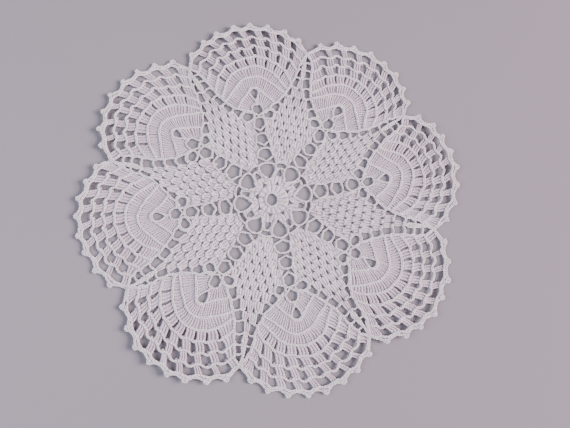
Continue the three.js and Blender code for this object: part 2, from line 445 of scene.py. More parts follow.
def along_of(line, around):
    """Distance along a line at an angle seen from the eye: the arc, then the tangent of what is left."""
    size = np.abs(around)
    arc = np.minimum(size, line["flank"])
    return np.sign(around) * line["reach"] * (np.radians(arc) + np.tan(np.radians(size - arc)))


def line_end(line, fan_rail):
    """How far a line runs on one side before it meets the rail: the first of many steps outside it."""
    along = np.linspace(0, LINE_LONGEST, LINE_STEPS)
    away = line_point(line, along) - [0, EYE_RADIUS]
    rail = fan_rail[:0:-1] - [0, EYE_RADIUS]
    rail_round = np.degrees(np.arctan2(*rail.T))
    limit = np.interp(np.degrees(np.arctan2(*away.T)), rail_round, np.hypot(*rail.T), left=np.inf)
    return along[np.argmax(np.hypot(*away.T) > limit)]


LINE_ENDS = np.array([[[side * line_end(line, sides[side].fan_rail) for side in SIDES]
                       for line in FAN_LINES] for sides in SIDE_LINES])


def gap_middles(line, lean):
    """Where the middles of the eight gaps are along a line, moved clockwise by half of the lean."""
    return along_of(line, COLUMN_PLACES * line["step"] + line["drift"]) + lean / 2


def arch_lift(row, along):
    """How far the chain over a row bulges outwards: a cosine bump over each gap."""
    half = row["gap"] * COLUMN_SHARE + ARCH_SHOULDER
    away = np.abs(along[:, None] - gap_middles(row, -row["lean"])) / half
    return row["bulge"] * np.cos(np.pi / 2 * np.minimum(1, away)).max(1)


print("ends of the first fan's lines, in mm along them:", LINE_ENDS[0].round(1).tolist())

# %% [markdown]
# ## The rows of a fan
# The fan starts with two wings of posts beside the eye, worked into the last ring of the arm, and a plain
# row over both. Each later row has ribs of three posts, and the chains between the ribs grow longer from
# row to row, so the fan opens like a shell. The ribs lean, because each row is worked into the last.

# %% Wings and rows of posts
RIB_POSTS, POST_PITCH, FULLNESS = 3, 1.7, 1.13
HOOK_IN = 0.35
WING_POSTS, WING_FROM, WING_TO = 8, 9.0, 104.0
WING_MIDDLE, WING_REACH = np.array([0.0, 64.8]), 4.3
WING_START, WING_END = 0.9, 0.4
WING_WIDTHS, WING_WAIST = (1.25, 2.2), 0.32
POST_SWAY, ROW_WAIST = 0.45, 0.30
BACKED_GAP = 0.5
FEWEST_POSTS = 2


def wings(ends):
    """Eight posts on each side of the eye, spread from the ring below it to the flanks of the first line,
    with back legs between them and a chain over them."""
    line = FAN_LINES[0]
    around = np.radians(np.linspace(WING_FROM, WING_TO, WING_POSTS))
    base = WING_MIDDLE + WING_REACH * np.stack([np.sin(around), np.cos(around)], -1)
    start = along_of(line, line["flank"]) + WING_START
    made = []
    for side, end in zip(SIDES, np.abs(ends)):
        top = line_point(line, np.linspace(start, end - WING_END, WING_POSTS))
        made.append(posts(base * [side, 1], top * [side, 1], *WING_WIDTHS, waist=WING_WAIST))
    top_chain = chain(line_point(line, np.linspace(*ends, ROUTE_POINTS)))
    return Motif(made, [top_chain, *map(backs, made)])


def stretches(line, ends, row, lean, share=1.0):
    """Starts and ends, along a line, of the stretches of posts between a share of the gaps of a row."""
    if row["gap"] == 0:
        return ends[:1], ends[1:]
    middle, half = gap_middles(line, lean), row["gap"] * COLUMN_SHARE * share
    return np.append(ends[0], middle + half), np.append(middle - half, ends[1])


def fan_row(number, low_ends, ends):
    """One row: each stretch between gaps is filled with posts at even distances on the line below and the
    line above it, and the chain on the upper line bulges over the gaps. Back legs stay inside a stretch,
    but where the gaps are hardly open they run right across the row."""
    lower, row = FAN_LINES[number - 1], FAN_LINES[number]
    low_start, low_end = stretches(lower, low_ends, row, row["lean"], row["foot"])
    start, end = stretches(row, ends, row, -row["lean"])
    count = np.maximum(FEWEST_POSTS, np.round((end - start) / POST_PITCH)).astype(int)
    count[1:-1] = RIB_POSTS
    stretch = np.repeat(np.arange(len(count)), count)
    place = np.arange(count.sum()) - np.repeat(np.cumsum(count) - count, count)
    share = (place + 0.5) / count[stretch]
    low_pitch, pitch = ((low_end - low_start) / count)[stretch], ((end - start) / count)[stretch]
    base = line_point(lower, low_start[stretch] + share * low_pitch * count[stretch], -HOOK_IN)
    top = line_point(row, start[stretch] + share * pitch * count[stretch])
    over = np.linspace(*ends, ROUTE_POINTS)
    row_posts = posts(base, top, low_pitch * FULLNESS, pitch * FULLNESS, sway=POST_SWAY, waist=ROW_WAIST)
    behind = backs(row_posts, stretch * (row["gap"] > BACKED_GAP))
    return Motif([row_posts], [chain(line_point(row, over, arch_lift(row, over))), behind])


def fan_rows(ends):
    """The wings and all rows of a fan whose lines have these ends."""
    return both(wings(ends[0]), *map(fan_row, range(1, len(ends)), ends[:-1], ends[1:]))


rows_made = [fan_rows(ends) for ends in LINE_ENDS]
print("posts in the rows of the fans:", [sum(len(b.paths) for b in rows.posts) for rows in rows_made])

# %% [markdown]
# ## The scalloped edge
# The last round covers the outer arches with short, tight stitches, and on the middle of each arch a few
# chain stitches make a tight little loop, the picot, that gives the mat its pointed edge.

# %% Edging stitches and picots
EDGE_RISE, EDGE_TOP_IN = 1.7, 0.45
PICOT = named_rows("reach aside", [
    (49.9, -1.65),
    (51.2, -1.30),
    (52.3, -0.60),
    (52.3, 0.60),
    (51.2, 1.30),
    (49.9, 1.65),
])


def edging():
    """Short posts all along the rim from the last row's chain to the edge, which rises over each arch as
    a squared sine, a chain along the edge, and a picot on each arch."""
    line = FAN_LINES[-1]
    stitches = round(2 * np.radians(RIM_END_ROUND) * RIM_RADIUS / EDGE_CHAIN.pitch)
    around = np.linspace(-RIM_END_ROUND, RIM_END_ROUND, stitches)
    last_valley = ARCHES / 2 * RIM_STEP
    arched = np.sin(np.pi * around / RIM_STEP) ** 2 * (np.abs(around) < last_valley)
    past = np.clip((np.abs(around) - last_valley) / (RIM_END_ROUND - last_valley), 0, 1)
    edge = RIM_RADIUS - EDGE_TOP_IN + EDGE_RISE * arched + (RIM_END_REACH - RIM_RADIUS) * past
    base = about_eye(line["reach"] + arch_lift(line, along_of(line, around)), around)
    top = about_eye(edge, around)
    width = EDGE_CHAIN.pitch * FULLNESS
    aside = np.degrees(PICOT["aside"] / RIM_RADIUS)
    picots = [about_eye(PICOT["reach"], middle + aside) for middle in ARCH_MIDDLES]
    chains = [chain(top, EDGE_CHAIN), *[chain(picot, EDGE_CHAIN) for picot in picots]]
    return Motif([], [posts(base, top, width, width, SHORT_POINTS), *chains])


fan_motifs = [both(rows, sides, edging()) for rows, sides in zip(rows_made, sides_made)]
print("strands in the fans:", [sum(len(b.paths) for b in fan.posts + fan.chains) for fan in fan_motifs])

# %% [markdown]
# ## The diamonds
# Each diamond is a brick wall of little shells. A shell is three posts that stand close at their feet and
# draw together under their chain, so a small slit opens between one shell and the next. The outer two bow
# apart like the staves of a barrel. Each row is set half a shell along from the row below, and some
# diamonds were pulled askew as the mat was laid down.

# %% Shells of a diamond
DIAMOND_ROWS = named_rows("out shells pitch first last", [
    (28.2, 1, 5.4, 2, 2),
    (33.0, 2, 5.9, 1, 1),
    (38.0, 3, 5.5, 2, 2),
    (43.0, 4, 5.4, 1, 1),
    (48.5, 5, 5.5, 2, 2),
    (53.9, 6, 5.5, 1, 1),
    (59.1, 5, 5.2, 0, 0),
    (65.1, 4, 5.4, 0, 0),
    (72.1, 3, 4.8, 1, 0),
    (79.3, 2, 4.2, 1, 0),
    (85.9, 1, 3.9, 0, 0),
])
DIAMOND_TILTS = (0.0, -1.5, 0.0, -2.0, -4.0, -6.5, -10.5, -1.0)
SHELL_POSTS, SLIT = 3, 2.65
SHELL_FOOT, SHELL_HEAD, SHELL_BARREL = 1.28, 1.30, 0.46
SHELL_LEAN, SHELL_HOOK = 0.2, 0.2
SHELL_SHOULDER, SHELL_CROWN = 0.9, 0.2
ARCH_POINTS = 7
SHELL_ARCH = np.linspace(-1, 1, ARCH_POINTS)
TURNING_PITCH, TURNING_WIDTH, TURNING_START = 1.35, 1.40, 0.2
SLIT_RISE = 1.2
FOOT_CLEAR, FOOT_POWER, LEAST_SHARE = 1.1, 4, 0.05


def shell_row(row, low, high):
    """One row: each shell's posts share its whole pitch at their feet and the pitch less a slit at their
    heads, and the outer ones bow outwards by half a sine wave. Back legs stay inside a shell, the chain
    over it is a flat parabola, and turning posts close the row at its ends."""
    shells = int(row["shells"])
    middle = (np.arange(shells) - (shells - 1) / 2) * row["pitch"]
    place = (np.arange(SHELL_POSTS) - (SHELL_POSTS - 1) / 2) / SHELL_POSTS
    width = row["pitch"] - SLIT
    feet = (middle[:, None] + place * row["pitch"]).ravel() + SHELL_LEAN / 2
    heads = (middle[:, None] + place * width).ravel() - SHELL_LEAN / 2
    base = np.stack([feet, np.full_like(feet, low + SHELL_HOOK)], -1)
    top = np.stack([heads, np.full_like(heads, high)], -1)
    widths = row["pitch"] / SHELL_POSTS * SHELL_FOOT, width / SHELL_POSTS * SHELL_HEAD
    barrel = -SHELL_BARREL * np.tile(np.sign(place), shells)
    made = posts(base, top, *widths, sway=barrel, waist=NO_WAIST, profile=SMOOTH_POST)
    first, last = (shells * row["pitch"] / 2 + TURNING_PITCH * (np.arange(row[end]) + TURNING_START)
                   for end in ("first", "last"))
    past = np.append(-first, last)
    ends = [np.stack([past, np.full(len(past), level)], -1) for level in (low, high)]
    turning = [posts(*ends, TURNING_WIDTH, TURNING_WIDTH, profile=SMOOTH_POST)] if len(past) else []
    crowns = high + SHELL_CROWN - SHELL_SHOULDER * SHELL_ARCH**2
    arches = [np.stack([shell + SHELL_ARCH * width / 2, crowns], -1) for shell in middle - SHELL_LEAN / 2]
    behind = backs(made, np.repeat(np.arange(shells), SHELL_POSTS))
    return Motif([made], turning + [behind] + [chain(arch) for arch in arches])


def clear_of_feet(paths):
    """Points inside the foot gaps at the diamond's two corners, pushed straight away from the middle of
    the gap to its edge, which is where the shares of its two half widths, each to a power, add up to
    one."""
    turn = np.arctan2(*FOOT_PLACE)
    corner = np.hypot(*FOOT_PLACE) * np.array([np.sin(TIP_ANGLE - turn), np.cos(TIP_ANGLE - turn)])
    half = FOOT_HALF + FOOT_CLEAR
    for side in SIDES:
        away = paths[..., :2] - corner * [side, 1]
        share = ((np.abs(away) / half) ** FOOT_POWER).sum(-1, keepdims=True) ** (1 / FOOT_POWER)
        pushed = corner * [side, 1] + away / np.clip(share, LEAST_SHARE, 1)
        paths = np.concatenate([pushed, paths[..., 2:]], -1)
    return paths


def tilted(motif, degrees):
    """A motif sheared, so that its rows run uphill by an angle, and then kept clear of the foot gaps."""
    shear = np.eye(3)
    shear[0, 1] = np.tan(np.radians(degrees))
    return Motif(*[[bundle._replace(paths=clear_of_feet(bundle.paths @ shear)) for bundle in kind]
                   for kind in motif])


row_lines = (DIAMOND_ROWS["out"][1:] + DIAMOND_ROWS["out"][:-1]) / 2 - SLIT_RISE
row_lines = np.concatenate([[DIAMOND_FOOT], row_lines, [DIAMOND_TIP]])
diamond_motif = both(*map(shell_row, DIAMOND_ROWS, row_lines[:-1], row_lines[1:]))
print("strands in a diamond:", sum(len(b.paths) for b in diamond_motif.posts + diamond_motif.chains))

# %% [markdown]
# ## The star
# The middle is a ring of posts round a hole, which was pulled a little to one side. The second ring leaves
# pin holes between the feet of its groups of posts, and the third leaves notches between their heads, so
# that the gap of each arm comes to a point there. Eight petals follow, with a hole in each.

# %% Rings and petals of the star
HOLE_MIDDLE, HOLE_HALF = np.array([-1.2, -0.3]), np.array([3.5, 3.9])
STAR_ROWS = named_rows("foot head posts turn pin_hole notch", [
    (9.8, 13.3, 4, 0.0, 4.6, 0.0),
    (12.9, 16.3, 4, 0.5, 0.0, 3.0),
])
STAR_POSTS, FIRST_HEAD, HOLE_WIDTH = 2, 10.0, 2.0
RING_POINTS = 32
PETAL_FOOT, PETAL_TOP = 14.6, 21.2
PETAL_POSTS = named_rows("foot top sway", [
    (-4.4, -2.6, -0.2),
    (-3.2, -2.5, 0.3),
    (-1.5, -0.9, 1.2),
    (1.5, 0.9, -1.2),
    (3.2, 2.5, -0.3),
    (4.4, 2.6, 0.2),
])
PETAL_WIDTH = 1.5
PETAL_CROWN = np.array([[-3.2, 20.9], [-1.6, 21.5], [0.0, 21.7], [1.6, 21.5], [3.2, 20.9]])
DIAMOND_SILL = np.array([[-4.6, 24.3], [-2.4, 25.4], [0.0, 25.8], [2.4, 25.4], [4.6, 24.3]])


def ray(around, reach=1.0):
    """Flat points at angles clockwise from the fan's line, a reach from the middle of the mat."""
    turned = np.radians(around)
    return np.stack([np.sin(turned), np.cos(turned)], -1) * np.expand_dims(reach, -1)


def star_row(row):
    """Eight groups of posts: the first row's are on the lines of the fans and leave a pin hole between the
    feet of two groups, and the second's are on the lines of the diamonds and leave a notch between the
    heads."""
    count = int(row["posts"])
    place = (np.arange(count) - (count - 1) / 2) / count
    lines = (np.arange(FAN_COUNT)[:, None] + row["turn"]) * FAN_STEP
    reaches, open_there = (row["foot"], row["head"]), (row["pin_hole"], row["notch"])
    spans = [FAN_STEP - np.degrees(left / reach) for left, reach in zip(open_there, reaches)]
    feet, heads = (ray((lines + place * span).ravel(), reach) for span, reach in zip(spans, reaches))
    widths = [np.radians(span / count) * reach * FULLNESS for span, reach in zip(spans, reaches)]
    return posts(feet, heads, *widths, waist=NO_WAIST, profile=SMOOTH_POST)


def star_rings():
    """The whole star: posts from the hole's edge outwards, two more rows of posts, and the hole's chain."""
    total = FAN_COUNT * STAR_POSTS
    around = (np.arange(total) + 0.5) * 360 / total
    hole = HOLE_MIDDLE + ray(around) * (HOLE_HALF + RAIL_HALF)
    first = posts(hole, ray(around, FIRST_HEAD), HOLE_WIDTH, 2 * np.pi * FIRST_HEAD / total * FULLNESS,
                  waist=NO_WAIST, profile=SMOOTH_POST)
    turn = np.linspace(0, 360, FAN_COUNT * RING_POINTS, endpoint=False)
    hole_edge = HOLE_MIDDLE + ray(turn) * (HOLE_HALF + RAIL_HALF)
    second, petal_feet = map(star_row, STAR_ROWS)
    groups = [np.repeat(np.arange(FAN_COUNT), len(row.paths) // FAN_COUNT) for row in (second, petal_feet)]
    behind = [backs(first), backs(second, groups[0]), backs(petal_feet, groups[1])]
    return Motif([first, second], [petal_feet, *behind, chain(hole_edge, RING_CHAIN, closed=True)])


def petal():
    """Six posts on the line of a diamond, the inner two bent round a hole, with a chain over them and a
    chain under the diamond."""
    base, top = (np.stack([PETAL_POSTS[end], np.full(len(PETAL_POSTS), out)], -1)
                 for end, out in (("foot", PETAL_FOOT), ("top", PETAL_TOP)))
    made = posts(base, top, PETAL_WIDTH, PETAL_WIDTH, sway=PETAL_POSTS["sway"])
    return Motif([], [made, chain(PETAL_CROWN, RING_CHAIN), chain(DIAMOND_SILL, RING_CHAIN)])


star_motif, petal_motif = star_rings(), petal()
print("posts in the star:", sum(len(bundle.paths) for bundle in star_motif.posts))

# %% [markdown]
# ## The arms
# Along the line of each fan runs an arm: a drop-shaped gap of the star, four open gaps that are each a V
# under a rounded arch, two squarish gaps at the fan's foot, and the drop of the eye. All are edged with
# thin chain, and a short stitch ties each arch to the point of the next gap. Longer posts at both sides of
# the arm fill the strip between it and the diamonds.

# %% Chained gaps of an arm
LINE_GAPS = named_rows("drop out wide tall", [
    (1, 19.8, 4.8, 5.6),
    (0, 32.1, 4.5, 3.8),
    (0, 43.0, 3.9, 3.7),
    (0, 54.5, 3.4, 4.0),
    (0, 64.8, 3.2, 3.7),
    (1, 76.8, 2.6, 4.4),
])
DROP_WIDEST = 0.77
V_RISE, ARCH_SQUARE, ARCH_DOME = 0.56, 0.6, 0.75
FOOT_SQUARE = 0.75
STUB_WIDTH, STUB_PAST, TIE_SHORT = 1.5, 0.3, 0.7
SIDE_POSTS = named_rows("low_across low_out high_across high_out", [
    (6.6, 26.6, 6.0, 32.4),
    (5.7, 32.4, 5.2, 43.0),
    (5.1, 42.6, 4.7, 54.4),
])
SIDE_POST_WIDTH = 2.2


def drop_route():
    """A drop with its point inwards: across is the sine, narrowed by the sine of half the angle, and out
    is minus the cosine."""
    t = np.linspace(0, 2 * np.pi, RING_POINTS, endpoint=False)
    return np.stack([np.sin(t) * np.sin(t / 2) / DROP_WIDEST, -np.cos(t)], -1)


def arch_over_v():
    """A V whose legs rise evenly, then an arch whose across and out are a cosine and a sine, each to a
    power that makes it squarer than a circle. The other half is its mirror image."""
    leg = np.linspace(0, 1, RING_POINTS // 4)
    u = np.linspace(0, np.pi / 2, RING_POINTS // 4)[1:]
    across = np.append(leg, np.cos(u) ** ARCH_SQUARE)
    out = np.append(V_RISE * leg - 1, V_RISE - 1 + (2 - V_RISE) * np.sin(u) ** ARCH_DOME)
    half = np.stack([across, out], -1)
    return np.concatenate([half, half[-2:0:-1] * [-1, 1]])


def rounded_square():
    """An oval whose sine and cosine are drawn out towards the corners by a power under one."""
    t = np.linspace(0, 2 * np.pi, RING_POINTS, endpoint=False)
    both_ways = np.stack([np.sin(t), np.cos(t)], -1)
    return np.sign(both_ways) * np.abs(both_ways) ** FOOT_SQUARE


def turned_route(route, degrees):
    """A flat route turned clockwise about its own middle."""
    t = np.radians(degrees)
    return route @ np.array([[np.cos(t), -np.sin(t)], [np.sin(t), np.cos(t)]])


def arm():
    """The chains round one arm's gaps and the two foot gaps, the stitches that tie gap to gap, a chain over
    the last of those under the eye, and the posts at both sides of the arm."""
    shapes = {0: arch_over_v(), 1: drop_route()}
    chains = []
    for gap in LINE_GAPS:
        size = np.array([gap["wide"], gap["tall"]]) + RAIL_HALF
        chains.append(chain(shapes[int(gap["drop"])] * size + [0, gap["out"]], RING_CHAIN, closed=True))
    foot = turned_route(rounded_square() * (FOOT_HALF + RAIL_HALF), FOOT_TURN) + FOOT_PLACE
    for side in SIDES:
        chains.append(chain(foot, RING_CHAIN, closed=True, side=side))
    arch_tops = (LINE_GAPS["out"] + LINE_GAPS["tall"])[:-1] + STUB_PAST
    next_points = (LINE_GAPS["out"] - LINE_GAPS["tall"])[1:] - STUB_PAST
    base, top = (np.stack([np.zeros_like(level), level], -1) for level in (arch_tops, next_points))
    stubs = posts(base, top, STUB_WIDTH, STUB_WIDTH, SHORT_POINTS)
    chains.append(chain(np.stack([base[-1], top[-1] - [0, TIE_SHORT]])))
    low, high = (np.stack([SIDE_POSTS[f"{end}_across"], SIDE_POSTS[f"{end}_out"]], -1)
                 for end in ("low", "high"))
    beside = [posts(low * [side, 1], high * [side, 1], SIDE_POST_WIDTH, SIDE_POST_WIDTH, profile=SMOOTH_POST)
              for side in SIDES]
    return Motif([], [*chains, stubs, *beside])


arm_motif = arm()
print("chains in an arm:", len(arm_motif.chains))

# %% [markdown]
# ## Patches of colour
# Cotton and floor are both a little lighter here and a little darker there. That is one effect for two
# materials, so it is made once, as a node group: slow noise over the object's own coordinates mixes two
# colours. A tone added to the noise moves the mix as well; in the cotton it holds painted shade and light.
# The small functions before it only make nodes and join them.

# %% Node helpers and the node group
PATCHY_INPUTS = {"Scale": "Float", "Detail": "Float", "Share": "Float", "Tone_and_shade": "Float",
                 "Light": "Color", "Dark": "Color"}


def link(tree, start, start_socket, end, end_socket):
    """Joins two node sockets."""
    tree.links.new(start.outputs[start_socket], end.inputs[end_socket])


def set_inputs(made, inputs):
    """Sets the values of a node's own sockets."""
    for socket, value in inputs.items():
        made.inputs[socket].default_value = value


def node(tree, kind, inputs=None, **values):
    """A new node with some of its properties, and then some of its sockets, set."""
    made = tree.nodes.new(kind)
    for name, value in values.items():
        setattr(made, name, value)
    set_inputs(made, inputs or {})
    return made


def new_material(name):
    """A material with its node tree and its shader."""
    material = bpy.data.materials.new(name)
    material.use_nodes = True
    return material, material.node_tree, material.node_tree.nodes["Principled BSDF"]


def patchy_group():
    """Node group of two mixed colours: the mix is a tone and a share of slow noise over the object."""
    group = bpy.data.node_groups.new("patchy_colour", "ShaderNodeTree")
    for name, kind in PATCHY_INPUTS.items():
        group.interface.new_socket(name, in_out="INPUT", socket_type=f"NodeSocket{kind}")
    group.interface.new_socket("Color", in_out="OUTPUT", socket_type="NodeSocketColor")
    given, result = node(group, "NodeGroupInput"), node(group, "NodeGroupOutput")
    place, noise = node(group, "ShaderNodeTexCoord"), node(group, "ShaderNodeTexNoise")
    amount = node(group, "ShaderNodeMath", operation="MULTIPLY_ADD")
    mix = node(group, "ShaderNodeMix", data_type="RGBA")
    link(group, place, "Object", noise, "Vector")
    link(group, given, "Scale", noise, "Scale")
    link(group, given, "Detail", noise, "Detail")
    link(group, noise, "Fac", amount, 0)
    link(group, given, "Share", amount, 1)
    link(group, given, "Tone_and_shade", amount, 2)
    link(group, amount, "Value", mix, "Factor")
    link(group, given, "Light", mix, "A")
    link(group, given, "Dark", mix, "B")
    link(group, mix, "Result", result, "Color")
    return group


patchy_colour = patchy_group()
print("node group:", patchy_colour.name, "with", len(patchy_colour.nodes), "nodes")

# %% [markdown]
# ## White cotton
# Crochet cotton is a smooth, slightly shiny thread of twisted plies, and some light sinks into it. The
# colour is an off-white that changes a little from stitch to stitch and over the mat. It also holds painted
# shade and light: greyer down the flanks of strands and on the back legs, lighter on the raised chains. The
# ply is a wave that runs along and round each strand, read from the strand's own UV map, and it only needs a
# bump because it is hair-fine.

# %% Cotton material
# Light and Dark are also the ends of the painted shade and light that the tone attribute carries.
COTTON_PATCHES = {
    "Scale": 35.0,
    "Detail": 3.0,
    "Share": 0.6,
    "Light": (0.90, 0.85, 0.885, 1.0),
    "Dark": (0.56, 0.49, 0.545, 1.0),
}
COTTON_SURFACE = {
    "Subsurface Weight": 0.6,
    "Subsurface Radius": (1.0, 0.9, 0.95),
    "Subsurface Scale": 0.9 * MM,
    "Sheen Weight": 0.15,
    "Sheen Roughness": 0.5,
    "Specular IOR Level": 0.35,
}
PLIES, PLY_LENGTH, PLY_SHARE = 3, 1.1, 0.4
FIBRE_SCALE = 2600.0
BUMP_STRENGTH, BUMP_DEPTH = 0.5, 0.06
SMOOTHEST, ROUGHEST = 0.62, 0.85


def thread_ply(tree):
    """The plies as a height: the sine of the way along a strand plus the way round it, from its UV map."""
    yarn, split = node(tree, "ShaderNodeUVMap", uv_map="yarn"), node(tree, "ShaderNodeSeparateXYZ")
    along = node(tree, "ShaderNodeMath", {1: 2 * np.pi / PLY_LENGTH}, operation="MULTIPLY")
    phase = node(tree, "ShaderNodeMath", {1: 2 * np.pi * PLIES}, operation="MULTIPLY_ADD")
    ply = node(tree, "ShaderNodeMath", operation="SINE")
    link(tree, yarn, "UV", split, "Vector")
    link(tree, split, "X", along, 0)
    link(tree, split, "Y", phase, 0)
    link(tree, along, "Value", phase, 2)
    link(tree, phase, "Value", ply, 0)
    return ply


def cotton():
    """Off-white by stitch tone, painted shade and light, and soft patches, with ply and fibre bump and a
    faint sheen.
    """
    material, tree, shader = new_material("white_cotton")
    # The tone attribute is a random tone per strand plus painted shade and light from crest and flank.
    tone_and_shade = node(tree, "ShaderNodeAttribute", attribute_name="tone_and_shade")
    colour = node(tree, "ShaderNodeGroup", COTTON_PATCHES, node_tree=patchy_colour)
    link(tree, tone_and_shade, "Fac", colour, "Tone_and_shade")
    link(tree, colour, "Color", shader, "Base Color")

    place = node(tree, "ShaderNodeTexCoord")
    fibre = node(tree, "ShaderNodeTexNoise", {"Scale": FIBRE_SCALE})
    height = node(tree, "ShaderNodeMath", {1: PLY_SHARE}, operation="MULTIPLY_ADD")
    bump = node(tree, "ShaderNodeBump", {"Strength": BUMP_STRENGTH, "Distance": BUMP_DEPTH * MM})
    rough = node(tree, "ShaderNodeMapRange", {"To Min": SMOOTHEST, "To Max": ROUGHEST})
    link(tree, place, "Object", fibre, "Vector")
    link(tree, thread_ply(tree), "Value", height, 0)
    link(tree, fibre, "Fac", height, 2)
    link(tree, height, "Value", bump, "Height")
    link(tree, bump, "Normal", shader, "Normal")
    link(tree, fibre, "Fac", rough, "Value")
    link(tree, rough, "Result", shader, "Roughness")
    set_inputs(shader, COTTON_SURFACE)
    return material


white_cotton = cotton()
print("material:", white_cotton.name, "with", len(white_cotton.node_tree.nodes), "nodes")

# %% [markdown]
# ## From strands to meshes
# Each motif becomes one mesh of many closed tubes. The arrays go in with foreach_set, which is far quicker
# than adding faces one by one. Every strand gets a tone of its own, with painted shade and light, greyer
# down its flanks, a UV map along and round it for the ply, and a cell of a second map in which no two
# strands overlap, for anyone who bakes the material.

# %% Join swept strands into meshes
JITTER = np.array([0.05, 0.05, 0.04])
BEND = np.array([0.11, 0.11, 0.05])
THICKNESS_SPREAD = 0.05
TONE_SPREAD = 0.10
CELL_MARGIN = 0.08


def strand_maps(paths, sides, first_number, cells):
    """Corners of a bundle's walls and ends on two maps: millimetres along a strand and turns round it, and
    the same two ways inside a square cell for each strand."""
    strands, steps = paths.shape[:2]
    way = np.arange(steps) / (steps - 1)
    low, high = way[:-1, None], way[1:, None]
    here, after = np.arange(sides) / sides, (np.arange(sides) + 1) / sides
    wall_way = np.stack(np.broadcast_arrays(low, high, high, low), -1) + 0 * here[:, None]
    wall_round = np.stack(np.broadcast_arrays(here, here, after, after), -1) + 0 * low[..., None]
    flat_way = np.append(wall_way, np.repeat([0.0, 1.0], sides))
    flat_round = np.append(wall_round, [here, here[::-1]])
    length = np.linalg.norm(np.diff(paths, axis=1), axis=2).sum(1)
    yarn = np.stack(np.broadcast_arrays(flat_way * length[:, None], flat_round), -1)
    number = first_number + np.arange(strands)
    cell = np.stack([number % cells, number // cells], -1)[:, None]
    spot = CELL_MARGIN + (1 - 2 * CELL_MARGIN) * np.stack([flat_way, flat_round], -1)
    return [[corners[:, :wall_way.size].reshape(-1, 2), corners[:, wall_way.size:].reshape(-1, 2)]
            for corners in (yarn, (cell + spot) / cells)]


def filled_mesh(name, points, corners, sizes, tone_and_shade, maps):
    """A mesh from whole arrays: points, corner numbers, corners to a face, a tone to a point and UV maps."""
    mesh = bpy.data.meshes.new(name)
    mesh.vertices.add(len(points))
    mesh.vertices.foreach_set("co", points.astype(np.float32).ravel())
    mesh.loops.add(len(corners))
    mesh.loops.foreach_set("vertex_index", corners.astype(np.int32))
    mesh.polygons.add(len(sizes))
    mesh.polygons.foreach_set("loop_start", (np.cumsum(sizes) - sizes).astype(np.int32))
    for map_name, spots in maps.items():
        layer = mesh.uv_layers.new(name=map_name, do_init=False)
        layer.uv.foreach_set("vector", np.concatenate(spots).astype(np.float32).ravel())
    mesh.attributes.new("tone_and_shade", "FLOAT", "POINT")
    mesh.attributes["tone_and_shade"].data.foreach_set("value", tone_and_shade.astype(np.float32))
    mesh.update(calc_edges=True)
    mesh.shade_smooth()
    mesh.materials.append(white_cotton)
    return mesh


def joined_mesh(name, placed):
    """One mesh from pairs of fan number and bundles: shifts and bends each strand a little, sweeps it where
    it lies, numbers its faces and lays them out on both UV maps."""
    strands_in_all = sum(len(bundle.paths) for _, bundles in placed for bundle in bundles)
    cells = int(np.ceil(np.sqrt(strands_in_all)))
    points, corners, sizes, tone_and_shade, yarn, atlas = [], [], [], [], [], []
    so_far = strand_number = 0
    for fan, bundles in placed:
        for profile, paths, radius in bundles:
            strands, steps = paths.shape[:2]
            way = np.arange(steps) / (steps - 1)
            shift, bend = rng.normal(0, 1, (2, strands, 1, 3))
            moved = settle(fan, paths + shift * JITTER + bend * BEND * np.sin(np.pi * way)[:, None])
            thick = radius * (1 + rng.normal(0, THICKNESS_SPREAD, (strands, 1))) * MM
            rings, depth = sweep(moved, thick, profile, rng.uniform(0, np.pi, strands))
            # Painted shade and light in the colour: the profile's crest grey, greyer down the flanks by
            # depth.
            crest = rng.normal(profile.crest, TONE_SPREAD, (strands, 1, 1))
            walls, ends = tube_corners(strands, steps, profile.sides)
            strand_yarn, strand_atlas = strand_maps(paths, profile.sides, strand_number, cells)
            points.append(rings.reshape(-1, 3))
            tone_and_shade.append((crest + profile.flank * depth).ravel())
            corners += [so_far + walls.ravel(), so_far + ends.ravel()]
            sizes += [np.full(faces[..., 0].size, faces.shape[-1]) for faces in (walls, ends)]
            yarn += strand_yarn
            atlas += strand_atlas
            so_far += strands * steps * profile.sides
            strand_number += strands
    arrays = [np.concatenate(parts) for parts in (points, corners, sizes, tone_and_shade)]
    return filled_mesh(name, *arrays, {"yarn": yarn, "OFBake": atlas})


def lace_piece(name, placed):
    """A piece of the mat: its mesh in the scene, riding on the mat's body, in its cotton."""
    piece = bpy.data.objects.new(name, joined_mesh(name, placed))
    bpy.context.collection.objects.link(piece)
    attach(piece, "root")
    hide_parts("lace_mat")
    triangles = len(piece.data.loops) - 2 * len(piece.data.polygons)
    print(f"{name}: {triangles} triangles")
    return piece


# %% [markdown]
# ## The pieces of the mat
# The star with its arms is one motif, and each diamond and each fan is one more. The close posts of a
# motif make its sheet of cloth. What lies on and between them is a second piece on that sheet: the chains,
# back legs, petals, turning posts and edging. Every sheet lies flat, so its flat size and area are worked
# out from the pattern's own outline.

# %% Make the star, the diamonds and the fans
def outline_area(outline):
    """Area inside an outline, as half the sum of the cross products of neighbouring points."""
    after = np.roll(outline, -1, axis=0)
    return abs((outline[:, 0] * after[:, 1] - outline[:, 1] * after[:, 0]).sum()) / 2


def lace_sheet(name, placed, flat):
    """A motif in the scene: a sheet of its posts and its chains on it. The flat size is turned into metres
    and not used.
    """
    grounds = lace_piece(name, [(fan, motif.posts) for fan, motif in placed])
    chains = lace_piece(f"{name}_chains", [(fan, motif.chains) for fan, motif in placed])
    flat = tuple(float(size) * MM for size in flat)


def fan_outline(sides):
    """The outline of a fan: one rail, the rim as an arc about the eye, and the other rail back."""
    rim_arc = about_eye(RIM_RADIUS, np.linspace(-RIM_END_ROUND, RIM_END_ROUND, ROUTE_POINTS))
    return np.concatenate([sides[-1].fan_rail * [-1, 1], rim_arc, sides[1].fan_rail[::-1]])


fan_outlines = [fan_outline(sides) for sides in SIDE_LINES]
fan_areas = [outline_area(outline) for outline in fan_outlines]

